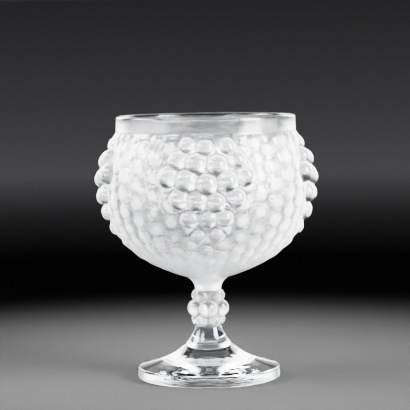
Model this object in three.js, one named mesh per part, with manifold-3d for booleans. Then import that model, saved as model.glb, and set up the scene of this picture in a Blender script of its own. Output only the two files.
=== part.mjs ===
// Footed glass bowl with four relief bunches of grapes, in millimetres.
// It stands on z = 0 with its axis on Z, and azimuth 0 faces -Y.
import * as THREE from "three";
import { mergeVertices } from "three/addons/utils/BufferGeometryUtils.js";
import Module from "manifold-3d";

// Foot: a round disc whose upper side sweeps up into the stem
const footRadius = 55.7;
const footEdgeHeight = 8.9;
const footTopRounding = 1.8;
const footUnderRounding = 0.9;
const footHeight = 39.8;
const stemRadius = 10.4;
const stemHandleSpread = 4;
const stemHandleDrop = 11.7;
const footHandleReach = 33;
const footHandleRise = 6.8;

// Knop: three rings of beads round a core
const knopHeight = 28;
const beadsPerRing = 5;
const middleBeadRadius = 7;
const middleRingRadius = 9.6;
const endBeadRadius = 5.1;
const endRingRadius = 8.4;
const beadRingPitch = 9.4;

// Bowl: a neck, a rounded body and an upright band under the lip
const neckRadius = 10.2;
const neckHeight = 10.6;
const neckRise = 5;
const neckFlareReach = 4.4;
const neckFlareDrop = 2.2;
const seatRadius = 17.5;
const bellyRadius = 80;
const bellyHeight = 70;
const bellyDrop = 38.7;
const undersideReach = 32;
const undersideSlope = 16.2;
const shoulderHeight = 44;
const shoulderRise = 20.4;
const shoulderFall = 14.4;
const shoulderLean = 12.6;
const shoulderRadius = 70.2;
const rimRadius = 69.9;
const bandHeight = 12;
const lipWall = 4.2;
const floorWall = 9;

// Pebbled ground of the bowl
const pebbleColumns = 36;
const pebblePitch = 13.3;
const pebbleHeight = 1.3;
const pebbleTopMargin = 5;
const pebbleEndRadius = 30;

// Bunches of grapes, evenly round the bowl, each with a middle berry at its top and tip
const bunchSides = ["front", "right", "back", "left"];
const berryRows = 7;
const widestRow = 2;
const widestCount = 5;
const berrySpacing = 14.8;
const tipSpacing = 12.4;
const berryRowPitch = 13.6;
const berryRowRise = 5;
const berryScatter = 0.7;
const berryVariation = 0.4;
const berryRadius = 8.5;
const tipBerryRadius = 6.8;
const shoulderRelief = 3.2;
const fullRelief = 7.5;
const tipRelief = 2.4;
const bunchTopDrop = 10.4;
const webThickness = 1.6;
const webMargin = 4;

// Room left where two pieces of glass meet
const jointGap = 0.3;

// Turns between one berry's scatter and the next one's
const scatterTurn = 2.4;

// Fineness of the faceted surfaces
const footSegments = 40;
const beadSegments = 8;
const beadBands = 6;
const berrySegments = 8;
const berryBands = 3;
const lipSteps = 4;
const cornerSteps = 2;
const footSteps = 8;
const neckSteps = 4;
const innerSteps = 8;
const mergeTolerance = 1e-4;

const footTop = footHeight;
const knopBase = footTop + jointGap;
const knopTop = knopBase + knopHeight;
const neckBase = knopTop + jointGap;
const seatZ = neckBase + neckHeight;
const bellyZ = seatZ + bellyHeight;
const shoulderZ = bellyZ + shoulderHeight;
const rimZ = shoulderZ + bandHeight;

const wasm = await Module();
wasm.setup();

const frosted = new THREE.MeshStandardMaterial({ color: 0xe8edee, roughness: 0.5, metalness: 0 });
const satin = new THREE.MeshStandardMaterial({ color: 0xdfe5e8, roughness: 0.4, metalness: 0 });
const clear = new THREE.MeshStandardMaterial({ color: 0xc9d3d8, roughness: 0.05, metalness: 0 });

const point = (r, z) => new THREE.Vector2(r, z);

// A closed geometry as a solid that can be cut and joined.
function solidOf(geometry) {
  const bare = geometry.clone();
  bare.deleteAttribute("normal");
  bare.deleteAttribute("uv");
  const merged = mergeVertices(bare, mergeTolerance);
  return new wasm.Manifold(
    new wasm.Mesh({
      numProp: 3,
      vertProperties: new Float32Array(merged.attributes.position.array),
      triVerts: new Uint32Array(merged.index.array),
    }),
  );
}

// A solid as a geometry that a mesh can show.
function geometryOf(solid) {
  const mesh = solid.getMesh();
  const geometry = new THREE.BufferGeometry();
  geometry.setAttribute("position", new THREE.BufferAttribute(mesh.vertProperties, 3));
  geometry.setIndex(new THREE.BufferAttribute(mesh.triVerts, 1));
  geometry.computeVertexNormals();
  return geometry;
}

// A profile of (radius, height) points, turned about Z from azimuth 0.
function revolve(profile, segments) {
  return new THREE.LatheGeometry(profile, segments).rotateX(Math.PI / 2);
}

// A rounded corner: a quarter circle about (r, z) that starts at the given turn.
function corner(r, z, radius, start) {
  const points = [];
  for (let step = 0; step <= cornerSteps; step += 1) {
    const turn = start + (step / cornerSteps) * (Math.PI / 2);
    points.push(point(r + radius * Math.cos(turn), z + radius * Math.sin(turn)));
  }
  return points;
}

// The curve of the bowl's outside from the shoulder down to the seat on the neck.
function makeGround() {
  const lean = THREE.MathUtils.degToRad(shoulderLean);
  const slope = THREE.MathUtils.degToRad(undersideSlope);
  const ground = new THREE.CurvePath();
  ground.add(
    new THREE.CubicBezierCurve(
      point(shoulderRadius, shoulderZ),
      point(
        shoulderRadius + shoulderFall * Math.sin(lean),
        shoulderZ - shoulderFall * Math.cos(lean),
      ),
      point(bellyRadius, bellyZ + shoulderRise),
      point(bellyRadius, bellyZ),
    ),
  );
  ground.add(
    new THREE.CubicBezierCurve(
      point(bellyRadius, bellyZ),
      point(bellyRadius, bellyZ - bellyDrop),
      point(
        seatRadius + undersideReach * Math.cos(slope),
        seatZ + undersideReach * Math.sin(slope),
      ),
      point(seatRadius, seatZ),
    ),
  );
  return ground;
}

const ground = makeGround();
const groundLength = ground.getLength();

// Where the ground lies a given way down its curve, and which way it faces there.
function groundAt(down) {
  const share = THREE.MathUtils.clamp(down / groundLength, 0, 1);
  const place = ground.getPoint(share);
  const along = ground.getTangent(share);
  return { place, normal: point(-along.y, along.x) };
}

// The bunch's rows of berries, from the shoulder to the tip.
function makeRows() {
  const rows = [];
  for (let row = 0; row < berryRows; row += 1) {
    const taper = Math.max(0, row - widestRow) / (berryRows - 1 - widestRow);
    const fromWidest = Math.abs(row - widestRow);
    const endRelief = row < widestRow ? shoulderRelief : tipRelief;
    const reach = row < widestRow ? widestRow : berryRows - 1 - widestRow;
    const share = fromWidest / reach;
    rows.push({
      index: row,
      down: bunchTopDrop + row * berryRowPitch,
      count: Math.max(1, widestCount - fromWidest),
      spacing: THREE.MathUtils.lerp(berrySpacing, tipSpacing, taper),
      radius: THREE.MathUtils.lerp(berryRadius, tipBerryRadius, taper),
      relief: THREE.MathUtils.lerp(fullRelief, endRelief, row < widestRow ? share ** 2 : share),
    });
  }
  return rows;
}

const rows = makeRows();

// How far a row has risen at a distance from the bunch's middle.
function rowRise(across) {
  return berryRowRise * (across / (2 * berrySpacing)) ** 2;
}

// Half the width of a bunch's web at a row, measured round the bowl.
function webHalfWidth(row) {
  return ((row.count - 1) / 2) * row.spacing + webMargin;
}

// Whether a place on the ground lies under the web of a bunch.
function underBunch(azimuth, down, radius) {
  const turn = (2 * Math.PI) / bunchSides.length;
  const offset = Math.abs(azimuth - Math.round(azimuth / turn) * turn) * radius;
  const level = down + rowRise(offset);
  for (let row = 0; row < berryRows - 1; row += 1) {
    const share = (level - rows[row].down) / (rows[row + 1].down - rows[row].down);
    if (share >= 0 && share <= 1) {
      const half = THREE.MathUtils.lerp(webHalfWidth(rows[row]), webHalfWidth(rows[row + 1]), share);
      return offset < half;
    }
  }
  return false;
}

// The outline of the bowl's outside from the neck's foot to the band's top. Each entry has
// its place, the way it faces and, on the pebbled ground, its distance down the curve.
function outerProfile() {
  const profile = [];
  const neck = new THREE.CubicBezierCurve(
    point(neckRadius, neckBase),
    point(neckRadius, neckBase + neckRise),
    point(seatRadius - neckFlareReach, seatZ - neckFlareDrop),
    point(seatRadius, seatZ),
  );
  for (let step = 0; step < neckSteps; step += 1) {
    const along = neck.getTangent(step / neckSteps);
    profile.push({ place: neck.getPoint(step / neckSteps), normal: point(along.y, -along.x) });
  }
  const half = pebblePitch / 2;
  const stations = Math.round(groundLength / half);
  for (let station = stations; station >= 0; station -= 1) {
    const down = (station * groundLength) / stations;
    profile.push({ ...groundAt(down), down, station });
  }
  profile.push({ place: point(rimRadius, rimZ - lipWall / 2), normal: point(1, 0) });
  return profile;
}

// How far a corner of the ground stands proud: the columns' pebbles are staggered.
function pebbleAt(column, entry, azimuth) {
  const { x: radius } = entry.place;
  const offPebble = (entry.station + column) % 2 !== 0;
  const offGround = entry.down < pebbleTopMargin || radius < pebbleEndRadius;
  if (offPebble || offGround || underBunch(azimuth, entry.down, radius)) return 0;
  return pebbleHeight;
}

// The outside of the bowl with its pebbles, moved outwards by offset, between the given ends.
function pebbledLathe(before, after, offset) {
  const entries = outerProfile();
  const segments = pebbleColumns;
  const moved = entries.map(({ place, normal }) => place.clone().addScaledVector(normal, offset));
  const geometry = revolve([...before, ...moved, ...after], segments);
  const position = geometry.getAttribute("position");
  const ringPoints = before.length + moved.length + after.length;
  for (let segment = 0; segment <= segments; segment += 1) {
    const column = segment % segments;
    const azimuth = (column / segments) * 2 * Math.PI;
    entries.forEach((entry, index) => {
      if (entry.down === undefined) return;
      const proud = pebbleAt(column, entry, azimuth);
      const vertex = segment * ringPoints + before.length + index;
      const out = proud * entry.normal.x;
      position.setXYZ(
        vertex,
        position.getX(vertex) + out * Math.sin(azimuth),
        position.getY(vertex) - out * Math.cos(azimuth),
        position.getZ(vertex) + proud * entry.normal.y,
      );
    });
  }
  return geometry;
}

// The ends that close the bowl's outside into a solid without a hollow.
const closedEnds = [[point(0, neckBase)], [point(0, rimZ - lipWall / 2)]];

// The lip's rounding and the inside of the bowl, down to the middle of its floor.
function innerProfile() {
  const profile = [];
  const lipCentre = point(rimRadius - lipWall / 2, rimZ - lipWall / 2);
  for (let step = 1; step <= lipSteps; step += 1) {
    const turn = (step / lipSteps) * Math.PI;
    const out = point(Math.cos(turn), Math.sin(turn)).multiplyScalar(lipWall / 2);
    profile.push(out.add(lipCentre));
  }
  for (let step = 0; step <= innerSteps; step += 1) {
    const share = step / innerSteps;
    const { place, normal } = groundAt(share * groundLength);
    profile.push(place.addScaledVector(normal, -THREE.MathUtils.lerp(lipWall, floorWall, share)));
  }
  profile.push(point(0, profile[profile.length - 1].y));
  return profile;
}

function makeBowl() {
  return pebbledLathe([point(0, neckBase)], innerProfile(), 0);
}

// One berry: a dome on a short stub, whose axis is +Y until it is turned to the ground's normal.
function berryGeometry(radius, relief) {
  const stub = Math.max(radius - relief, 0) + webThickness;
  const profile = [point(0, -stub), point(radius, -stub)];
  for (let band = 0; band < berryBands; band += 1) {
    const turn = (band / berryBands) * (Math.PI / 2);
    profile.push(point(radius * Math.cos(turn), radius * Math.sin(turn)));
  }
  profile.push(point(0, radius));
  return new THREE.LatheGeometry(profile, berrySegments);
}

// A berry in its place on the front of the bowl, a little off the even grid.
function placedBerry(row, berry) {
  const sway = scatterTurn * (row.index * widestCount + berry + 1);
  const even = (berry - (row.count - 1) / 2) * row.spacing;
  const across = even + berryScatter * Math.sin(sway);
  const radius = row.radius + berryVariation * Math.sin(2 * sway);
  const { place, normal } = groundAt(row.down - rowRise(even) + berryScatter * Math.cos(sway));
  const azimuth = across / place.x;
  const facing = new THREE.Vector3(
    normal.x * Math.sin(azimuth),
    -normal.x * Math.cos(azimuth),
    normal.y,
  );
  const centre = new THREE.Vector3(
    place.x * Math.sin(azimuth),
    -place.x * Math.cos(azimuth),
    place.y,
  ).addScaledVector(facing, row.relief - radius);
  const turn = new THREE.Quaternion().setFromUnitVectors(new THREE.Vector3(0, 1, 0), facing);
  return berryGeometry(radius, row.relief)
    .applyQuaternion(turn)
    .translate(centre.x, centre.y, centre.z);
}

// The outline of the web that joins a bunch's berries, as seen from the front.
function webShape() {
  const half = [];
  const top = groundAt(Math.max(0, rows[0].down - webMargin)).place;
  const tip = groundAt(rows[berryRows - 1].down + webMargin).place;
  rows.forEach((row) => {
    const across = webHalfWidth(row);
    const { place } = groundAt(row.down - rowRise(across));
    half.push(point(place.x * Math.sin(across / place.x), place.y));
  });
  half.unshift(point(half[0].x - webMargin, top.y));
  half.push(point(webMargin / 2, tip.y));
  const mirrored = half.map(({ x, y }) => point(-x, y)).reverse();
  return new THREE.Shape([...half, ...mirrored]);
}

// The whole bunch on the front of the bowl, which still reaches into the bowl's wall.
function makeBunch() {
  const plate = new THREE.ExtrudeGeometry(webShape(), { depth: bellyRadius * 2, bevelEnabled: false });
  plate.rotateX(Math.PI / 2);
  const shell = solidOf(pebbledLathe(...closedEnds, jointGap + webThickness));
  let bunch = solidOf(plate).intersect(shell);
  rows.forEach((row) => {
    for (let berry = 0; berry < row.count; berry += 1) {
      bunch = bunch.add(solidOf(placedBerry(row, berry)));
    }
  });
  return geometryOf(bunch);
}

// A bead of the knop, whose centre lies on a ring round the axis.
function makeBead(radius, ringRadius, azimuth, z) {
  const bead = new THREE.SphereGeometry(radius, beadSegments, beadBands);
  bead.translate(0, ringRadius, 0).rotateZ(Math.PI + azimuth).translate(0, 0, z);
  return solidOf(bead);
}

function makeKnop() {
  const middle = knopBase + knopHeight / 2;
  const slab = revolve(
    [
      point(0, knopBase),
      point(middleRingRadius + middleBeadRadius + jointGap, knopBase),
      point(middleRingRadius + middleBeadRadius + jointGap, knopTop),
      point(0, knopTop),
    ],
    footSegments,
  );
  const core = revolve(
    [
      point(0, knopBase),
      point(stemRadius, knopBase),
      point(middleRingRadius, middle),
      point(neckRadius, knopTop),
      point(0, knopTop),
    ],
    footSegments,
  );
  let knop = solidOf(core);
  const turn = (2 * Math.PI) / beadsPerRing;
  for (let bead = 0; bead < beadsPerRing; bead += 1) {
    const azimuth = bead * turn;
    knop = knop
      .add(makeBead(middleBeadRadius, middleRingRadius, azimuth, middle))
      .add(makeBead(endBeadRadius, endRingRadius, azimuth + turn / 2, middle + beadRingPitch))
      .add(makeBead(endBeadRadius, endRingRadius, azimuth + turn / 2, middle - beadRingPitch));
  }
  return geometryOf(knop.intersect(solidOf(slab)));
}

function makeFoot() {
  const sweep = new THREE.CubicBezierCurve(
    point(footRadius - footTopRounding, footEdgeHeight),
    point(footRadius - footHandleReach, footEdgeHeight + footHandleRise),
    point(stemRadius + stemHandleSpread, footTop - stemHandleDrop),
    point(stemRadius, footTop),
  );
  return revolve(
    [
      point(0, 0),
      ...corner(footRadius - footUnderRounding, footUnderRounding, footUnderRounding, -Math.PI / 2),
      ...corner(footRadius - footTopRounding, footEdgeHeight - footTopRounding, footTopRounding, 0),
      ...sweep.getPoints(footSteps).slice(1),
      point(0, footTop),
    ],
    footSegments,
  );
}

function named(name, geometry, material) {
  const mesh = new THREE.Mesh(geometry, material);
  mesh.name = name;
  return mesh;
}

const footedBowl = new THREE.Group();
footedBowl.add(named("foot", makeFoot(), clear));
footedBowl.add(named("stem_knop", makeKnop(), satin));
footedBowl.add(named("bowl", makeBowl(), frosted));

const carrier = solidOf(pebbledLathe(...closedEnds, jointGap));
const bunch = makeBunch();
bunchSides.forEach((side, index) => {
  const turned = bunch.clone().rotateZ((index * 2 * Math.PI) / bunchSides.length);
  const seated = geometryOf(solidOf(turned).subtract(carrier));
  footedBowl.add(named("grape_bunch_" + side, seated, frosted));
});

export default footedBowl;
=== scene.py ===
"""Looks of the footed glass bowl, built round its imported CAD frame.

Sizes are in millimetres, as in the part's source, and a mesh is scaled to metres when it is made.
Lights, camera and floor are in metres. The bowl stands on z = 0 with its axis on Z, azimuth 0 faces
-Y, and "down" is a way down the curve of the bowl's outside, from its shoulder.
"""

import math

import bpy
import numpy as np
from mathutils import Matrix, Vector


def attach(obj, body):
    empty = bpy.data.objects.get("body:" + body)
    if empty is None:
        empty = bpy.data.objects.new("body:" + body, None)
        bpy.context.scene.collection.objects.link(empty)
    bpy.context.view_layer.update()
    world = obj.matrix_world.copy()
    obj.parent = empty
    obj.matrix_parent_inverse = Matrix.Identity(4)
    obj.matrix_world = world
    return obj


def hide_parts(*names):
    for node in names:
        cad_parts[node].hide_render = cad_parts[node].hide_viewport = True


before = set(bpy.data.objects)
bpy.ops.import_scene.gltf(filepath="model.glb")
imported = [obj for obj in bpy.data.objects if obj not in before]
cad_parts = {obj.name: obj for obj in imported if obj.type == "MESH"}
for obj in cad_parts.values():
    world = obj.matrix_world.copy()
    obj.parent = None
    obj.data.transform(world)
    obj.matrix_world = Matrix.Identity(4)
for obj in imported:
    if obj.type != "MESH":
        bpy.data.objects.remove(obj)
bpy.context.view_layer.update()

MM = 0.001
JOINT_GAP = 0.3

# Foot
FOOT_RADIUS = 55.7
FOOT_EDGE_HEIGHT = 8.9
FOOT_TOP_ROUNDING = 1.8
FOOT_UNDER_ROUNDING = 0.9
FOOT_HEIGHT = 39.8
STEM_RADIUS = 10.4
STEM_HANDLE_SPREAD = 4
STEM_HANDLE_DROP = 11.7
FOOT_HANDLE_REACH = 33
FOOT_HANDLE_RISE = 6.8

# Knop
KNOP_HEIGHT = 28
BEADS_PER_RING = 5
MIDDLE_BEAD_RADIUS = 7
MIDDLE_RING_RADIUS = 9.6
END_BEAD_RADIUS = 5.1
END_RING_RADIUS = 8.4
BEAD_RING_PITCH = 9.4
BEAD_BLEND = 0.6

# Bowl
NECK_RADIUS = 10.2
NECK_HEIGHT = 10.6
NECK_RISE = 5
NECK_FLARE_REACH = 4.4
NECK_FLARE_DROP = 2.2
SEAT_RADIUS = 17.5
BELLY_RADIUS = 80
BELLY_HEIGHT = 70
BELLY_DROP = 38.7
UNDERSIDE_REACH = 32
UNDERSIDE_SLOPE = 16.2
SHOULDER_HEIGHT = 44
SHOULDER_RISE = 20.4
SHOULDER_FALL = 14.4
SHOULDER_LEAN = 12.6
SHOULDER_RADIUS = 70.2
RIM_RADIUS = 69.9
BAND_HEIGHT = 12
LIP_WALL = 4.2
FLOOR_WALL = 9
FLOOR_FLAT_RADIUS = 12

# Pebbled ground, fading out at the band (down), towards the neck (radius) and beside a bunch
PEBBLE_COLUMNS = 36
PEBBLE_PITCH = 13.3
PEBBLE_HEIGHT = 1.7
PEBBLE_REACH = 8.8
PEBBLE_BLEND = 0.12
PEBBLE_UNEVENNESS = 0.12
PEBBLE_START = (0, 5)
PEBBLE_END_RADIUS = (28, 66)
PEBBLE_BUNCH_FADE = (-1.5, 1.5)
# Slopes over which painted shade darkens the lower side of each pebble
PEBBLE_UNDER_SLOPE = (0.1, 0.35)

# Bunches of grapes
BUNCH_SIDES = ("front", "right", "back", "left")
BERRY_ROWS = 7
WIDEST_ROW = 2
WIDEST_COUNT = 5
BERRY_SPACING = 14.8
TIP_SPACING = 12.4
BERRY_ROW_PITCH = 13.6
BERRY_ROW_RISE = 5
BERRY_SCATTER = 0.7
BERRY_VARIATION = 0.4
BERRY_RADIUS = 8
TIP_BERRY_RADIUS = 6.5
SHOULDER_RELIEF = 3.2
FULL_RELIEF = 7.5
TIP_RELIEF = 2.4
BUNCH_TOP_DROP = 10.4
SCATTER_TURN = 2.4

# Softness of the creases between berries, and how deep a bunch sinks into the wall
BERRY_BLEND = 1
BUNCH_SINK = 0.7
BUNCH_BACK = 1.4

# Where the etching stops: haze of the clear band and the shoulder, and edges on bunches and knop
BAND_HAZE = 0.05
SHOULDER_HAZE = 0.3
FROST_REACH = 14
FROST_BUNCH_EDGE = (-0.6, 0.4)
FROST_BEAD_EDGE = (0, 0.6)
KNOP_CLEAR_FOOT = (2, 6)

# Glassy creases: their share of a pebble's height, how far down they and the painted shade on the
# pebbles reach, their width on berries
CREASE_SHARE = 0.6
CREASE_FADE_DOWN = (118, 72)
CREASE_WIDTH = 5

# Painted shade on the lower rims of berries and beads, darker as if light fell from above: the fall of
# the surface there, and their lean to one side, as if the light came from the other side
BERRY_UNDER_TURN = (0.2, 0.65)
UNDER_LEAN = 15
UNDER_RELIEF = (0, 1)

# Heights worked out from the sizes above
KNOP_BASE = FOOT_HEIGHT + JOINT_GAP
KNOP_MIDDLE = KNOP_BASE + KNOP_HEIGHT / 2
KNOP_TOP = KNOP_BASE + KNOP_HEIGHT
NECK_BASE = KNOP_TOP + JOINT_GAP
SEAT_Z = NECK_BASE + NECK_HEIGHT
BELLY_Z = SEAT_Z + BELLY_HEIGHT
SHOULDER_Z = BELLY_Z + SHOULDER_HEIGHT
RIM_Z = SHOULDER_Z + BAND_HEIGHT
BAND_TOP = RIM_Z - LIP_WALL / 2

# Fineness of the meshes
LATHE_SEGMENTS = 360
KNOP_SEGMENTS = 180
KNOP_STEPS = 60
CURVE_STEPS = 2000
SWEEP_STEPS = 70
NECK_STEPS = 18
BAND_STEPS = 12
LIP_STEPS = 15
INSIDE_STEPS = 90
FLOOR_STEPS = 8
FOOT_TOP_STEPS = 9
FOOT_UNDER_STEPS = 7
GROUND_STEP = 1.1
BUNCH_STEP = 0.75
MARCH_STEPS = 60
MARCH_SHARE = 0.9

# Small margins: inset of the hidden end faces, and room round shapes that are searched for their skin
END_INSET = 0.4
END_SHARE = 0.96
UNDERSIDE_SHARE = 0.98
BUNCH_MARGIN = 3
BUNCH_TOP_MARGIN = 0.5
KNOP_MARGIN = 2
KNOP_CORE_INSET = 1
SINK_TOLERANCE = 0.001

# Constants of the usual sine hash, for uneven pebbles
HASH_COLUMN = 12.9898
HASH_ROW = 78.233
HASH_START = 37.719
HASH_SCALE = 43758.5453

# Clear glass
CLEAR_TINT = (0.945, 0.975, 1, 1)
CLEAR_IOR = 1.52
CLEAR_ROUGHNESS = 0.01

# Etched glass, polished where its frost is 0. It looks whiter where it is seen edge on, through more
# of its thickness
ETCHED_IOR = 1.5
ETCHED_TINT = (1, 1.01, 1.02)
POLISHED_ROUGHNESS = 0.015
THICK_EDGE = (0.35, 0.95)
EDGE_CLARITY = 0.05

# Bumps in glass: noise scale and detail, strength, and depth in metres
CLEAR_RIPPLE = (60, 2, 0.15, 0.0006)
ETCHED_RIPPLE = (110, 2, (0.03, 0.14), 0.0006)
ETCHED_GRAIN = (1800, 3, 0.12, 0.0002)

# Turning lines: pitch in millimetres, unevenness and its scale, strength, and depth in metres
TURNING_PITCH = 5
TURNING_UNEVENNESS = 2.5
TURNING_DETAIL = 0.6
TURNING_STRENGTH = 0.05
TURNING_DEPTH = 0.0004

# Etched finishes and painted shade: tones of the open face and of the lower rims, which are painted
# darker as painted shade, then clarity and roughness of creases and tops
ETCHED_FINISHES_AND_SHADE = {
    "frosted_crystal": ((0.98, 0.25), (0.88, 0.6), (0.1, 0.14)),
    "berry_crystal": ((0.82, 0.08), (0.7, 0.8), (0.2, 0.1)),
    "satin_crystal": ((0.55, 0.2), (0.85, 0.94), (0.3, 0.2)),
}

# Floor: its radius, its gap under the foot, and its greys in the middle and past its fade. The fade is
# a painted pool of light, pale round the foot and darker outwards, in place of the lamps' falloff
STAGE_RADIUS = 0.9
STAGE_SIDES = 96
STAGE_DROP = 0.2
STAGE_FADE = (0.12, 0.55)
STAGE_GREYS = (0.08, 0.002)
STAGE_ROUGHNESS = 0.8

# Surroundings: height of a direction, from -1 straight down to 1 straight up, and its grey
SKY_LOW = -0.12
SKY_HIGH = 1
SKY_BLUE = 1.04
SKY_STOPS = (
    (-0.11, 0.002),
    (-0.085, 0.02),
    (-0.062, 0.048),
    (-0.02, 0.0357),
    (0.04, 0.023),
    (0.08, 0.55),
    (0.2, 0.55),
    (0.3, 0.05),
    (1, 0.08),
)

# Soft lights: azimuth, distance from the axis, height, size of the panel, and radiance
LIGHT_EDGE = 0.35
LIGHT_AIM_HEIGHT = 0.12
SOFT_BOXES = {
    "softbox_right": (60, 1.1, 0.6, (0.8, 1.1), 24),
    "softbox_left": (-95, 1.0, 0.8, (0.9, 0.8), 14),
    "left_fill": (-75, 1.2, 0.25, (2.0, 0.5), 3),
    "right_fill": (80, 1.2, 0.2, (1.2, 0.4), 3),
    "high_left": (-50, 0.9, 0.95, (0.6, 0.6), 10),
    "back_top": (180, 1.4, 0.6, (2.8, 0.4), 0.5),
    "low_left": (-145, 1.4, 0.25, (1.4, 0.5), 1.2),
    "low_right": (145, 1.4, 0.25, (1.4, 0.5), 1.2),
    "rim_left": (-150, 1.2, 0.6, (0.8, 0.8), 4),
    "rim_right": (150, 1.2, 0.6, (0.8, 0.8), 3),
    "front_fill": (0, 1.5, 0.5, (3.2, 1.4), 0.7),
    "front_low": (0, 0.9, 0.02, (1.6, 0.1), 8),
    "low_left_front": (-50, 0.9, 0.03, (1.0, 0.12), 16),
    "low_right_front": (50, 0.9, 0.03, (1.0, 0.12), 12),
}

# Camera, fitted to the ellipses of the lip and the foot in the photograph
FRAME_PIXELS = 410
FOCAL_PIXELS = 1739
SENSOR_WIDTH = 36
CAMERA_PLACE = (-0.0014, -1.355, 0.2433)
CAMERA_DIP = 4.58
CAMERA_ROLL = -0.82
EXPOSURE = 0.75


def bezier(points, count):
    """Points on a cubic curve through (radius, height) handles."""
    a, b, c, d = (np.array(p, float) for p in points)
    t = np.linspace(0, 1, count)[:, None]
    return (1 - t) ** 3 * a + 3 * (1 - t) ** 2 * t * b + 3 * (1 - t) * t**2 * c + t**3 * d


def smooth_step(low, high, value):
    """From 0 at low to 1 at high, with soft ends. low may be the larger of the two."""
    share = np.clip((value - low) / (high - low), 0, 1)
    return share * share * (3 - 2 * share)


def lerp(a, b, share):
    """The value that lies the share of the way from a to b."""
    return a + (b - a) * share


class Ground:
    """The curve of the bowl's outside from the shoulder down to the seat on the neck."""

    def __init__(self):
        lean = math.radians(SHOULDER_LEAN)
        slope = math.radians(UNDERSIDE_SLOPE)
        upper = bezier(
            (
                (SHOULDER_RADIUS, SHOULDER_Z),
                (
                    SHOULDER_RADIUS + SHOULDER_FALL * math.sin(lean),
                    SHOULDER_Z - SHOULDER_FALL * math.cos(lean),
                ),
                (BELLY_RADIUS, BELLY_Z + SHOULDER_RISE),
                (BELLY_RADIUS, BELLY_Z),
            ),
            CURVE_STEPS,
        )
        lower = bezier(
            (
                (BELLY_RADIUS, BELLY_Z),
                (BELLY_RADIUS, BELLY_Z - BELLY_DROP),
                (
                    SEAT_RADIUS + UNDERSIDE_REACH * math.cos(slope),
                    SEAT_Z + UNDERSIDE_REACH * math.sin(slope),
                ),
                (SEAT_RADIUS, SEAT_Z),
            ),
            2 * CURVE_STEPS,
        )
        self.curve = np.concatenate((upper, lower[1:]))
        steps = np.linalg.norm(np.diff(self.curve, axis=0), axis=1)
        self.down = np.concatenate(([0], np.cumsum(steps)))
        self.length = self.down[-1]
        along = np.gradient(self.curve, self.down, axis=0)
        self.along = along / np.linalg.norm(along, axis=1)[:, None]

    def at(self, down):
        """Radius, height and outward direction (radial, upward) at a way down the curve."""
        down = np.clip(down, 0, self.length)
        r = np.interp(down, self.down, self.curve[:, 0])
        z = np.interp(down, self.down, self.curve[:, 1])
        ar = np.interp(down, self.down, self.along[:, 0])
        az = np.interp(down, self.down, self.along[:, 1])
        size = np.hypot(ar, az)
        return r, z, -az / size, ar / size


ground = Ground()


def add_mesh(name, points, faces, attributes=()):
    """A smooth-shaded object of these points, in millimetres, with named values per point."""
    mesh = bpy.data.meshes.new(name)
    mesh.from_pydata((np.asarray(points) * MM).tolist(), [], faces)
    mesh.shade_smooth()
    for label, values in dict(attributes).items():
        layer = mesh.attributes.new(label, "FLOAT", "POINT")
        layer.data.foreach_set("value", np.asarray(values, np.float32))
    mesh.validate()
    mesh.update()
    piece = bpy.data.objects.new(name, mesh)
    bpy.context.scene.collection.objects.link(piece)
    return piece


def grid_faces(rows, columns):
    """Quads over a grid of points, row by row, closed round its columns."""
    faces = []
    for row in range(rows - 1):
        a = row * columns
        b = a + columns
        for column in range(columns):
            following = (column + 1) % columns
            faces.append((a + column, a + following, b + following, b + column))
    return faces


def turned_mesh(name, rings, attributes=()):
    """A closed mesh of rings about Z, bottom centre to top centre along the outside.

    rings is an array (ring, segment, 3). A point on the axis closes each end.
    """
    count, segments, _ = rings.shape
    low = [0, 0, rings[0, :, 2].mean()]
    high = [0, 0, rings[-1, :, 2].mean()]
    points = np.concatenate((rings.reshape(-1, 3), [low, high]))
    faces = grid_faces(count, segments)
    low_index = count * segments
    last = (count - 1) * segments
    for segment in range(segments):
        following = (segment + 1) % segments
        faces.append((low_index, following, segment))
        faces.append((low_index + 1, last + segment, last + following))
    filled = {}
    for label, values in dict(attributes).items():
        ends = [np.mean(values[0]), np.mean(values[-1])]
        filled[label] = np.concatenate((np.asarray(values).reshape(-1), ends))
    return add_mesh(name, points, faces, filled)


def turned_points(radius, height, azimuth):
    """Points at these radii, heights and azimuths, which broadcast together."""
    radius, height, azimuth = np.broadcast_arrays(radius, height, azimuth)
    return np.stack((radius * np.sin(azimuth), -radius * np.cos(azimuth), height), axis=-1)


def around(segments):
    """Evenly spaced azimuths all the way round."""
    return np.arange(segments) * (2 * math.pi / segments)


def rings_of(profile):
    """Rings of points about Z through a profile of (radius, height) points."""
    return turned_points(profile[:, :1], profile[:, 1:], around(LATHE_SEGMENTS))


def corner(r, z, radius, start, steps):
    """A quarter circle about (r, z) that starts at the given turn."""
    turn = start + np.linspace(0, math.pi / 2, steps)
    return np.stack((r + radius * np.cos(turn), z + radius * np.sin(turn)), axis=1)


def make_foot():
    """The clear disc with rounded edges, swept up into the stem."""
    sweep = bezier(
        (
            (FOOT_RADIUS - FOOT_TOP_ROUNDING, FOOT_EDGE_HEIGHT),
            (FOOT_RADIUS - FOOT_HANDLE_REACH, FOOT_EDGE_HEIGHT + FOOT_HANDLE_RISE),
            (STEM_RADIUS + STEM_HANDLE_SPREAD, FOOT_HEIGHT - STEM_HANDLE_DROP),
            (STEM_RADIUS, FOOT_HEIGHT),
        ),
        SWEEP_STEPS,
    )
    under = corner(
        FOOT_RADIUS - FOOT_UNDER_ROUNDING,
        FOOT_UNDER_ROUNDING,
        FOOT_UNDER_ROUNDING,
        -math.pi / 2,
        FOOT_UNDER_STEPS,
    )
    top = corner(
        FOOT_RADIUS - FOOT_TOP_ROUNDING,
        FOOT_EDGE_HEIGHT - FOOT_TOP_ROUNDING,
        FOOT_TOP_ROUNDING,
        0,
        FOOT_TOP_STEPS,
    )
    inner = under[0] * (UNDERSIDE_SHARE, 1)
    cap = np.array((STEM_RADIUS - END_INSET, FOOT_HEIGHT))
    profile = np.vstack((inner, under, top, sweep[1:], cap))
    return turned_mesh("foot_glass", rings_of(profile))


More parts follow.
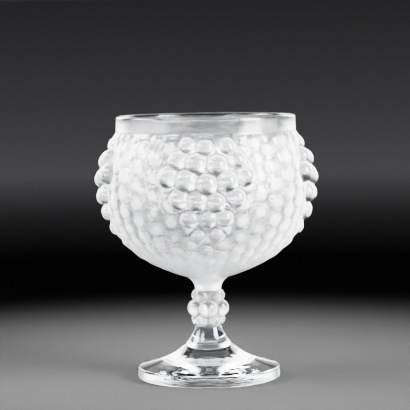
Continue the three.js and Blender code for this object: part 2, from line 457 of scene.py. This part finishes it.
def lattice_noise(column, row):
    """A steady value from -1 to 1 for each whole column and row."""
    wave = np.sin(column * HASH_COLUMN + row * HASH_ROW + HASH_START) * HASH_SCALE
    return 2 * (wave - np.floor(wave)) - 1


def pebble_relief(azimuth, down, radius):
    """How far the ground stands proud: staggered domed pebbles that fade out at the band and below."""
    stations = round(ground.length / (PEBBLE_PITCH / 2))
    column = azimuth * PEBBLE_COLUMNS / (2 * math.pi)
    station = down * stations / ground.length
    width = 2 * math.pi * BELLY_RADIUS / PEBBLE_COLUMNS
    total = 0
    for side in (0, 1):
        middle = np.floor(column) + side
        lift = np.mod(middle, 2)
        nearest = 2 * np.round((station - lift) / 2) + lift
        for step in (-2, 0, 2):
            across = (column - middle) * width
            along = (station - nearest - step) * PEBBLE_PITCH / 2
            uneven = lattice_noise(np.mod(middle, PEBBLE_COLUMNS), nearest + step)
            size = 1 + PEBBLE_UNEVENNESS * uneven
            dome = PEBBLE_HEIGHT * (size - (across**2 + along**2) / PEBBLE_REACH**2)
            total = total + np.exp(dome / PEBBLE_BLEND)
    relief = np.maximum(PEBBLE_BLEND * np.log(total), 0)
    fade = smooth_step(*PEBBLE_START, down) * smooth_step(*PEBBLE_END_RADIUS, radius)
    polish = smooth_step(CREASE_SHARE, 1, relief / PEBBLE_HEIGHT)
    return relief * fade, lerp(1, polish, smooth_step(*CREASE_FADE_DOWN, down))


def neck_profile():
    """The neck from its end face on the knop to the seat, hidden end first."""
    start = np.array([[NECK_RADIUS - END_INSET, NECK_BASE]])
    neck = bezier(
        (
            (NECK_RADIUS, NECK_BASE),
            (NECK_RADIUS, NECK_BASE + NECK_RISE),
            (SEAT_RADIUS - NECK_FLARE_REACH, SEAT_Z - NECK_FLARE_DROP),
            (SEAT_RADIUS, SEAT_Z),
        ),
        NECK_STEPS,
    )
    return np.vstack((start, neck))


def band_profile():
    """The clear band from the shoulder up to the lip's rounding."""
    z = np.linspace(SHOULDER_Z, BAND_TOP, BAND_STEPS)[1:]
    r = np.interp(z, (SHOULDER_Z, BAND_TOP), (SHOULDER_RADIUS, RIM_RADIUS))
    return np.stack((r, z), axis=1)


def lip_profile():
    """The half round over the lip, from the outside to the inside."""
    turn = np.linspace(0, math.pi, LIP_STEPS)[1:]
    rounding = LIP_WALL / 2
    r = RIM_RADIUS - rounding + rounding * np.cos(turn)
    z = BAND_TOP + rounding * np.sin(turn)
    return np.stack((r, z), axis=1)


def inside_profile():
    """The bowl's inside, from the shoulder down the wall and in over the flat floor."""
    share = np.linspace(0, 1, INSIDE_STEPS)
    r, z, nr, nz = ground.at(share * ground.length)
    wall = lerp(LIP_WALL, FLOOR_WALL, share)
    inside = np.stack((r - nr * wall, z - nz * wall), axis=1)
    inside = inside[inside[:, 0] > FLOOR_FLAT_RADIUS]
    floor_r = np.linspace(inside[-1, 0], 1, FLOOR_STEPS)[1:]
    floor_z = np.full(len(floor_r), inside[-1, 1])
    return np.vstack((inside, np.stack((floor_r, floor_z), axis=1)))


def make_bowl():
    """The vessel from neck to lip, with its pebbled ground and the values that its frost, polish and
    painted shade follow.
    """
    azimuth = around(LATHE_SEGMENTS)
    down = np.linspace(ground.length, 0, int(ground.length / GROUND_STEP))[1:]
    r, z, nr, nz = ground.at(down)
    bare = distance_to_bunch(azimuth, down)
    relief, polish = pebble_relief(azimuth[None, :], down[:, None], r[:, None])
    relief = relief * smooth_step(*PEBBLE_BUNCH_FADE, bare)
    out_r = r[:, None] + relief * nr[:, None]
    out_z = z[:, None] + relief * nz[:, None]
    outside = turned_points(out_r, out_z, azimuth)

    neck = neck_profile()
    band = band_profile()
    lip = lip_profile()
    inner = np.vstack((band, lip, inside_profile()))
    rings = np.concatenate((rings_of(neck), outside, rings_of(inner)))

    band_start = len(neck) + len(down)
    lip_start = band_start + len(band)
    neck_rows = slice(0, len(neck))
    ground_rows = slice(len(neck), band_start)
    band_rows = slice(band_start, lip_start)
    lip_rows = slice(lip_start, lip_start + len(lip))
    etched = lerp(SHOULDER_HAZE, 1, smooth_step(0, FROST_REACH, down))
    band_haze = lerp(SHOULDER_HAZE, BAND_HAZE, smooth_step(SHOULDER_Z, BAND_TOP, band[:, 1]))
    frost = np.zeros(rings.shape[:2])
    frost[neck_rows] = 1
    frost[ground_rows] = etched[:, None] * smooth_step(*FROST_BUNCH_EDGE, bare)
    frost[band_rows] = band_haze[:, None]
    frost[lip_rows] = BAND_HAZE
    crest = np.zeros(rings.shape[:2])
    crest[neck_rows] = 1
    crest[ground_rows] = polish
    # Painted shade: darker on the lower side of each pebble, where its relief climbs most steeply,
    # fading out down the bowl
    slope = np.gradient(relief, axis=0) / GROUND_STEP
    fade = smooth_step(*CREASE_FADE_DOWN, down)[:, None]
    shade = np.zeros(rings.shape[:2])
    shade[ground_rows] = smooth_step(*PEBBLE_UNDER_SLOPE, slope) * fade
    return turned_mesh("bowl_glass", rings, {"frost": frost, "crest": crest, "shade": shade})


def berries():
    """Centres and radii of one bunch's berries, on the front of the bowl."""
    centres = []
    radii = []
    for row in range(BERRY_ROWS):
        taper = max(0, row - WIDEST_ROW) / (BERRY_ROWS - 1 - WIDEST_ROW)
        from_widest = abs(row - WIDEST_ROW)
        end_relief = SHOULDER_RELIEF if row < WIDEST_ROW else TIP_RELIEF
        reach = WIDEST_ROW if row < WIDEST_ROW else BERRY_ROWS - 1 - WIDEST_ROW
        count = max(1, WIDEST_COUNT - from_widest)
        spacing = lerp(BERRY_SPACING, TIP_SPACING, taper)
        row_radius = lerp(BERRY_RADIUS, TIP_BERRY_RADIUS, taper)
        share = from_widest / reach
        relief = lerp(FULL_RELIEF, end_relief, share**2 if row < WIDEST_ROW else share)
        for berry in range(count):
            sway = SCATTER_TURN * (row * WIDEST_COUNT + berry + 1)
            even = (berry - (count - 1) / 2) * spacing
            across = even + BERRY_SCATTER * math.sin(sway)
            radius = row_radius + BERRY_VARIATION * math.sin(2 * sway)
            rise = BERRY_ROW_RISE * (even / (2 * BERRY_SPACING)) ** 2
            down = BUNCH_TOP_DROP + row * BERRY_ROW_PITCH - rise + BERRY_SCATTER * math.cos(sway)
            r, z, nr, nz = ground.at(down)
            deep = relief - radius
            centres.append(turned_points(r + nr * deep, z + nz * deep, across / r))
            radii.append(radius)
    return np.array(centres), np.array(radii)


def ball_distances(points, centres, radii):
    """Distance of each point from the skin of each ball."""
    return np.linalg.norm(points[:, None, :] - centres[None, :, :], axis=2) - radii


def blended_distance(points, centres, radii, blend):
    """Distance to a group of balls whose creases are softened."""
    away = ball_distances(points, centres, radii)
    nearest = away.min(axis=1)
    return nearest - blend * np.log(np.exp((nearest[:, None] - away) / blend).sum(axis=1))


def openness(points, centres, radii, proud):
    """From 0 in the crease between two berries, or beside the ground, to 1 on a berry's open face."""
    away = np.sort(ball_distances(points, centres, radii), axis=1)
    return smooth_step(0, CREASE_WIDTH, np.minimum(away[:, 1] - away[:, 0], proud))


def underside(points, centres, radii, upward):
    """From 0 on a berry's face to 1 on its lower rim, where the painted shade goes."""
    away = ball_distances(points, centres, radii)
    out = points - centres[away.argmin(axis=1)]
    fall = -(out * upward).sum(axis=1) / np.linalg.norm(out, axis=1)
    return smooth_step(*BERRY_UNDER_TURN, fall)


def distance_to_bunch(azimuth, down):
    """How far points of the bare ground lie outside the nearest bunch's berries."""
    centres, radii = berries()
    quarter = math.pi / 2
    turned = azimuth - np.round(azimuth / quarter) * quarter
    r, z, _, _ = ground.at(down)
    points = turned_points(r[:, None], z[:, None], turned)
    away = blended_distance(points.reshape(-1, 3), centres, radii, BERRY_BLEND)
    return away.reshape(points.shape[:2])


def marched(base, facing, start, end, distance):
    """How far along facing from base a shape's skin lies, coming in from start, no lower than end."""
    height = np.full(len(base), float(start))
    for _ in range(MARCH_STEPS):
        gap = distance(base + facing * height[:, None])
        height = np.maximum(height - np.maximum(gap, 0) * MARCH_SHARE, end)
    return height


def make_bunch(side, turn):
    """One bunch: the skin of its berries over the ground, closed by a back inside the wall."""
    centres, radii = berries()
    widest = np.abs(np.arctan2(centres[:, 0], -centres[:, 1])).max()
    spread = widest + (BERRY_RADIUS + BUNCH_MARGIN) / BELLY_RADIUS
    columns = int(2 * spread * BELLY_RADIUS / BUNCH_STEP) | 1
    last_down = BUNCH_TOP_DROP + (BERRY_ROWS - 1) * BERRY_ROW_PITCH + TIP_BERRY_RADIUS + BUNCH_MARGIN
    rows = int(last_down / BUNCH_STEP)
    azimuth = np.linspace(-spread, spread, columns)
    down = np.linspace(last_down, BUNCH_TOP_MARGIN, rows)
    r, z, nr, nz = ground.at(down)

    def spread_out(radial, vertical):
        """A value of the bowl's outline at each row, turned to every azimuth."""
        return turned_points(radial[:, None], vertical[:, None], azimuth).reshape(-1, 3)

    base = spread_out(r, z)
    facing = spread_out(nr, nz)
    relief = marched(
        base,
        facing,
        FULL_RELIEF + BERRY_VARIATION + BUNCH_MARGIN,
        -BUNCH_SINK,
        lambda points: blended_distance(points, centres, radii, BERRY_BLEND),
    )
    outer = base + facing * relief[:, None]
    back = base - facing * BUNCH_BACK

    # Painted shade on the berries' lower rims: up leans to one side, so the shade falls as if lit from
    # above on that side
    lean = math.radians(UNDER_LEAN)
    across = np.stack((np.cos(azimuth), np.sin(azimuth), np.zeros(columns)), axis=1)
    sideways = np.tile(across, (rows, 1))
    upward = spread_out(-nz, nr) * math.cos(lean) + sideways * math.sin(lean)
    outside = {
        "frost": smooth_step(-BUNCH_SINK, 0, relief),
        "crest": openness(outer, centres, radii, relief),
        "shade": underside(outer, centres, radii, upward) * smooth_step(*UNDER_RELIEF, relief),
    }
    plain = np.zeros(len(back))
    attributes = {label: np.concatenate((values, plain)) for label, values in outside.items()}

    used = (relief > -BUNCH_SINK + SINK_TOLERANCE).reshape(rows, columns)
    cells = np.zeros((rows - 1, columns - 1), bool)
    for row in (0, 1):
        for column in (0, 1):
            cells |= used[row : rows - 1 + row, column : columns - 1 + column]
    return closed_patch(f"grape_bunch_{side}_glass", outer, back, cells, columns, turn, attributes)


def closed_patch(name, outer, back, cells, columns, turn, attributes):
    """A closed piece from the used cells of a grid: its outside, its back and the wall between."""
    count = len(outer)
    faces = []
    edges = {}
    for row, column in zip(*np.nonzero(cells)):
        a = row * columns + column
        ring = (a, a + 1, a + columns + 1, a + columns)
        faces.append(ring)
        faces.append(tuple(reversed([count + point for point in ring])))
        for start, end in zip(ring, ring[1:] + ring[:1]):
            if (end, start) in edges:
                del edges[(end, start)]
            else:
                edges[(start, end)] = True
    for start, end in edges:
        faces.append((end, start, count + start, count + end))
    used = sorted({point for face in faces for point in face})
    renumber = {int(old): new for new, old in enumerate(used)}
    faces = [tuple(renumber[int(point)] for point in face) for face in faces]
    kept = {label: values[used] for label, values in attributes.items()}
    x, y, z = np.concatenate((outer, back))[used].T
    sin = math.sin(turn)
    cos = math.cos(turn)
    turned = np.stack((x * cos - y * sin, x * sin + y * cos, z), axis=1)
    return add_mesh(name, turned, faces, kept)


def knop_beads():
    """Centres and radii of the knop's three rings of beads."""
    turn = 2 * math.pi / BEADS_PER_RING
    rings = (
        (MIDDLE_RING_RADIUS, MIDDLE_BEAD_RADIUS, 0, 0),
        (END_RING_RADIUS, END_BEAD_RADIUS, turn / 2, BEAD_RING_PITCH),
        (END_RING_RADIUS, END_BEAD_RADIUS, turn / 2, -BEAD_RING_PITCH),
    )
    centres = []
    radii = []
    for ring_radius, bead_radius, start, rise in rings:
        for bead in range(BEADS_PER_RING):
            centres.append(turned_points(ring_radius, KNOP_MIDDLE + rise, start + bead * turn))
            radii.append(bead_radius)
    return np.array(centres), np.array(radii)


def make_knop():
    """The beaded knop: the skin of its beads and of the slim shaft that they stand round."""
    centres, radii = knop_beads()
    heights = np.linspace(KNOP_BASE, KNOP_TOP, KNOP_STEPS)
    ends = (KNOP_BASE, KNOP_MIDDLE, KNOP_TOP)
    core = np.interp(heights, ends, (STEM_RADIUS, MIDDLE_RING_RADIUS, NECK_RADIUS))
    core_radius = np.repeat(core, KNOP_SEGMENTS)
    facing = np.tile(turned_points(1, 0, around(KNOP_SEGMENTS)), (KNOP_STEPS, 1))
    base = np.zeros_like(facing)
    base[:, 2] = np.repeat(heights, KNOP_SEGMENTS)

    def distance(points):
        """Distance to the beads and the shaft, with soft creases between them."""
        beads = blended_distance(points, centres, radii, BEAD_BLEND)
        shaft = np.hypot(points[:, 0], points[:, 1]) - core_radius
        nearest = np.minimum(beads, shaft)
        blended = np.exp((nearest - beads) / BEAD_BLEND) + np.exp((nearest - shaft) / BEAD_BLEND)
        return nearest - BEAD_BLEND * np.log(blended)

    outmost = MIDDLE_RING_RADIUS + MIDDLE_BEAD_RADIUS + KNOP_MARGIN
    reach = marched(base, facing, outmost, STEM_RADIUS - KNOP_CORE_INSET, distance)
    skin = base + facing * reach[:, None]
    rings = skin.reshape(KNOP_STEPS, KNOP_SEGMENTS, 3)
    inset = (END_SHARE, END_SHARE, 1)
    rings = np.concatenate((rings[:1] * inset, rings, rings[-1:] * inset))
    proud = reach - core_radius
    off_stem = smooth_step(*KNOP_CLEAR_FOOT, base[:, 2] - KNOP_BASE)
    outside = {
        "frost": np.maximum(smooth_step(*FROST_BEAD_EDGE, proud), off_stem),
        "crest": openness(skin, centres, radii, proud),
        # Painted shade on the beads' lower rims
        "shade": underside(skin, centres, radii, np.array((0, 0, 1.0))),
    }
    plain = np.zeros(KNOP_SEGMENTS)
    attributes = {}
    for label, values in outside.items():
        attributes[label] = np.concatenate((plain, values, plain)).reshape(rings.shape[:2])
    return turned_mesh("stem_knop_glass", rings, attributes)


def new_material(name):
    """A new material with its nodes, its links and its shader."""
    material = bpy.data.materials.new(name)
    material.use_nodes = True
    tree = material.node_tree
    return material, tree.nodes, tree.links, tree.nodes["Principled BSDF"]


def mesh_value(nodes, name):
    """The values that a mesh holds under this name."""
    node = nodes.new("ShaderNodeAttribute")
    node.attribute_name = name
    return node.outputs["Fac"]


def map_range(nodes, links, source, low, high, to_low, to_high):
    """A number carried over from one range to another, held at its ends."""
    node = nodes.new("ShaderNodeMapRange")
    node.inputs["From Min"].default_value = low
    node.inputs["From Max"].default_value = high
    node.inputs["To Min"].default_value = to_low
    node.inputs["To Max"].default_value = to_high
    links.new(source, node.inputs["Value"])
    return node.outputs["Result"]


def noise(nodes, links, scale, detail):
    """Soft noise that is fixed to the object."""
    place = nodes.new("ShaderNodeTexCoord")
    node = nodes.new("ShaderNodeTexNoise")
    node.inputs["Scale"].default_value = scale
    node.inputs["Detail"].default_value = detail
    links.new(place.outputs["Object"], node.inputs["Vector"])
    return node.outputs["Fac"]


def bump(nodes, links, height, strength, depth, under=None):
    """A bump from a height, laid over another bump's normal if one is given."""
    node = nodes.new("ShaderNodeBump")
    if isinstance(strength, bpy.types.NodeSocket):
        links.new(strength, node.inputs["Strength"])
    else:
        node.inputs["Strength"].default_value = strength
    node.inputs["Distance"].default_value = depth
    links.new(height, node.inputs["Height"])
    if under:
        links.new(under, node.inputs["Normal"])
    return node.outputs["Normal"]


def turning_lines(nodes, links):
    """Rings about Z, as a shaping tool leaves them in hot glass."""
    place = nodes.new("ShaderNodeTexCoord")
    wave = nodes.new("ShaderNodeTexWave")
    wave.wave_type = "RINGS"
    wave.rings_direction = "Z"
    wave.inputs["Scale"].default_value = math.pi / (10 * TURNING_PITCH * MM)
    wave.inputs["Distortion"].default_value = TURNING_UNEVENNESS
    wave.inputs["Detail Scale"].default_value = TURNING_DETAIL
    links.new(place.outputs["Object"], wave.inputs["Vector"])
    return wave.outputs["Fac"]


def blend(nodes, links, share, bare, other):
    """A number that goes from bare to another socket's value with the share."""
    node = nodes.new("ShaderNodeMix")
    node.data_type = "FLOAT"
    node.inputs["A"].default_value = bare
    links.new(share, node.inputs["Factor"])
    links.new(other, node.inputs["B"])
    return node.outputs["Result"]


def product(nodes, links, first, second):
    """Two numbers multiplied."""
    node = nodes.new("ShaderNodeMath")
    node.operation = "MULTIPLY"
    links.new(first, node.inputs[0])
    links.new(second, node.inputs[1])
    return node.outputs["Value"]


def clear_glass():
    """Polished crystal with a slow ripple and faint turning lines."""
    material, nodes, links, shader = new_material("clear_crystal")
    shader.inputs["Base Color"].default_value = CLEAR_TINT
    shader.inputs["Transmission Weight"].default_value = 1
    shader.inputs["IOR"].default_value = CLEAR_IOR
    shader.inputs["Roughness"].default_value = CLEAR_ROUGHNESS
    scale, detail, strength, depth = CLEAR_RIPPLE
    ripple = bump(nodes, links, noise(nodes, links, scale, detail), strength, depth)
    turning = turning_lines(nodes, links)
    lines = bump(nodes, links, turning, TURNING_STRENGTH, TURNING_DEPTH, ripple)
    links.new(lines, shader.inputs["Normal"])
    return material


def etched_normal(nodes, links, frost):
    """A slow ripple, stronger under the frost, with the etching's fine grain over it."""
    scale, detail, strengths, depth = ETCHED_RIPPLE
    strength = map_range(nodes, links, frost, 0, 1, *strengths)
    ripple = bump(nodes, links, noise(nodes, links, scale, detail), strength, depth)
    scale, detail, strength, depth = ETCHED_GRAIN
    return bump(nodes, links, noise(nodes, links, scale, detail), strength, depth, ripple)


def etched_glass(name):
    """Etched crystal: frost says where, crest tells tops from creases, and shade marks the lower rims
    that are painted darker as painted shade.
    """
    tones, clarity, roughness = ETCHED_FINISHES_AND_SHADE[name]
    material, nodes, links, shader = new_material(name)
    # Base colour: the open face's own tone, painted darker on lower rims as painted shade
    ramp = nodes.new("ShaderNodeValToRGB")
    for stop, tone in zip(ramp.color_ramp.elements, tones):
        stop.color = (*(tone * part for part in ETCHED_TINT), 1)
    links.new(mesh_value(nodes, "shade"), ramp.inputs["Fac"])
    links.new(ramp.outputs["Color"], shader.inputs["Base Color"])
    shader.inputs["IOR"].default_value = ETCHED_IOR
    frost = mesh_value(nodes, "frost")
    crest = mesh_value(nodes, "crest")
    facing = nodes.new("ShaderNodeLayerWeight").outputs["Facing"]
    edge_on = map_range(nodes, links, facing, *THICK_EDGE, 1, EDGE_CLARITY)
    etched_clarity = product(nodes, links, map_range(nodes, links, crest, 0, 1, *clarity), edge_on)
    etched_roughness = map_range(nodes, links, crest, 0, 1, *roughness)
    links.new(blend(nodes, links, frost, 1, etched_clarity), shader.inputs["Transmission Weight"])
    rough = blend(nodes, links, frost, POLISHED_ROUGHNESS, etched_roughness)
    links.new(rough, shader.inputs["Roughness"])
    links.new(etched_normal(nodes, links, frost), shader.inputs["Normal"])
    return material


def fade_edges(light):
    """Fades a soft light's panel from full in its middle to nothing at its edges."""
    light.use_nodes = True
    nodes = light.node_tree.nodes
    links = light.node_tree.links
    place = nodes.new("ShaderNodeNewGeometry")
    split = nodes.new("ShaderNodeSeparateXYZ")
    links.new(place.outputs["Parametric"], split.inputs["Vector"])
    both = nodes.new("ShaderNodeMath")
    both.operation = "MULTIPLY"
    for index, axis in enumerate("XY"):
        inward = nodes.new("ShaderNodeMath")
        inward.operation = "PINGPONG"
        inward.inputs[1].default_value = 0.5
        links.new(split.outputs[axis], inward.inputs[0])
        fade = nodes.new("ShaderNodeMapRange")
        fade.interpolation_type = "SMOOTHSTEP"
        fade.inputs["From Max"].default_value = LIGHT_EDGE
        links.new(inward.outputs["Value"], fade.inputs["Value"])
        links.new(fade.outputs["Result"], both.inputs[index])
    links.new(both.outputs["Value"], nodes["Emission"].inputs["Strength"])


def soft_box(name, azimuth, distance, height, size, radiance):
    """A soft light round the bowl at an azimuth from the camera's side, aimed at the bowl."""
    light = bpy.data.lights.new(name, "AREA")
    light.shape = "RECTANGLE"
    light.size, light.size_y = size
    light.energy = radiance * math.pi * size[0] * size[1]
    fade_edges(light)
    lamp = bpy.data.objects.new(name, light)
    place = Vector(turned_points(distance, height, math.radians(azimuth)))
    aim = Vector((0, 0, LIGHT_AIM_HEIGHT)) - place
    lamp.matrix_world = Matrix.Translation(place) @ aim.to_track_quat("-Z", "Y").to_matrix().to_4x4()
    lamp.visible_camera = False
    bpy.context.scene.collection.objects.link(lamp)


def make_stage():
    """A plain floor with a painted pool of light, pale round the foot and painted darker outwards
    until it fades out of sight behind the bowl.
    """
    bpy.ops.mesh.primitive_circle_add(vertices=STAGE_SIDES, radius=STAGE_RADIUS, fill_type="NGON")
    floor = bpy.context.object
    floor.name = "floor"
    floor.location.z = -STAGE_DROP * MM
    material, nodes, links, shader = new_material("pale_floor")
    place = nodes.new("ShaderNodeTexCoord")
    away = nodes.new("ShaderNodeVectorMath")
    away.operation = "LENGTH"
    links.new(place.outputs["Object"], away.inputs[0])
    # Painted pool of light: the floor's grey falls with distance from the axis
    fade = nodes.new("ShaderNodeValToRGB")
    links.new(map_range(nodes, links, away.outputs["Value"], *STAGE_FADE, 0, 1), fade.inputs["Fac"])
    fade.color_ramp.interpolation = "EASE"
    for stop, grey in zip(fade.color_ramp.elements, STAGE_GREYS):
        stop.color = (grey, grey, grey, 1)
    links.new(fade.outputs["Color"], shader.inputs["Base Color"])
    shader.inputs["Roughness"].default_value = STAGE_ROUGHNESS
    shader.inputs["Specular IOR Level"].default_value = 0
    floor.data.materials.append(material)


def make_world():
    """A dark studio with a pale strip of light low over the horizon."""
    world = bpy.data.worlds.new("studio")
    bpy.context.scene.world = world
    world.use_nodes = True
    nodes = world.node_tree.nodes
    links = world.node_tree.links
    heading = nodes.new("ShaderNodeTexCoord")
    split = nodes.new("ShaderNodeSeparateXYZ")
    ramp = nodes.new("ShaderNodeValToRGB")
    links.new(heading.outputs["Generated"], split.inputs["Vector"])
    upward = map_range(nodes, links, split.outputs["Z"], SKY_LOW, SKY_HIGH, 0, 1)
    links.new(upward, ramp.inputs["Fac"])
    stops = ramp.color_ramp.elements
    for index, (height, grey) in enumerate(SKY_STOPS):
        place = (height - SKY_LOW) / (SKY_HIGH - SKY_LOW)
        stop = stops[index] if index < 2 else stops.new(place)
        stop.position = place
        stop.color = (grey, grey, grey * SKY_BLUE, 1)
    links.new(ramp.outputs["Color"], nodes["Background"].inputs["Color"])


def make_camera():
    """The camera at the photograph's viewing angle."""
    camera = bpy.data.cameras.new("camera")
    camera.sensor_width = SENSOR_WIDTH
    camera.lens = SENSOR_WIDTH * FOCAL_PIXELS / FRAME_PIXELS
    eye = bpy.data.objects.new("camera", camera)
    dip = Matrix.Rotation(math.radians(90 - CAMERA_DIP), 4, "X")
    roll = Matrix.Rotation(math.radians(CAMERA_ROLL), 4, "Z")
    eye.matrix_world = Matrix.Translation(CAMERA_PLACE) @ dip @ roll
    bpy.context.scene.collection.objects.link(eye)
    bpy.context.scene.camera = eye


def dress(piece, node, material):
    """Gives a piece its material and puts it in the place of a CAD node."""
    piece.data.materials.append(material)
    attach(piece, "root")
    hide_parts(node)


make_camera()
make_world()
make_stage()
for name, settings in SOFT_BOXES.items():
    soft_box(name, *settings)
bpy.context.scene.view_settings.view_transform = "Filmic"
bpy.context.scene.view_settings.look = "Very High Contrast"
bpy.context.scene.view_settings.exposure = EXPOSURE

clear = clear_glass()
frosted = etched_glass("frosted_crystal")
berry_glass = etched_glass("berry_crystal")
satin = etched_glass("satin_crystal")
dress(make_foot(), "foot", clear)
dress(make_knop(), "stem_knop", satin)
dress(make_bowl(), "bowl", frosted)
for index, side in enumerate(BUNCH_SIDES):
    dress(make_bunch(side, index * math.pi / 2), "grape_bunch_" + side, berry_glass)
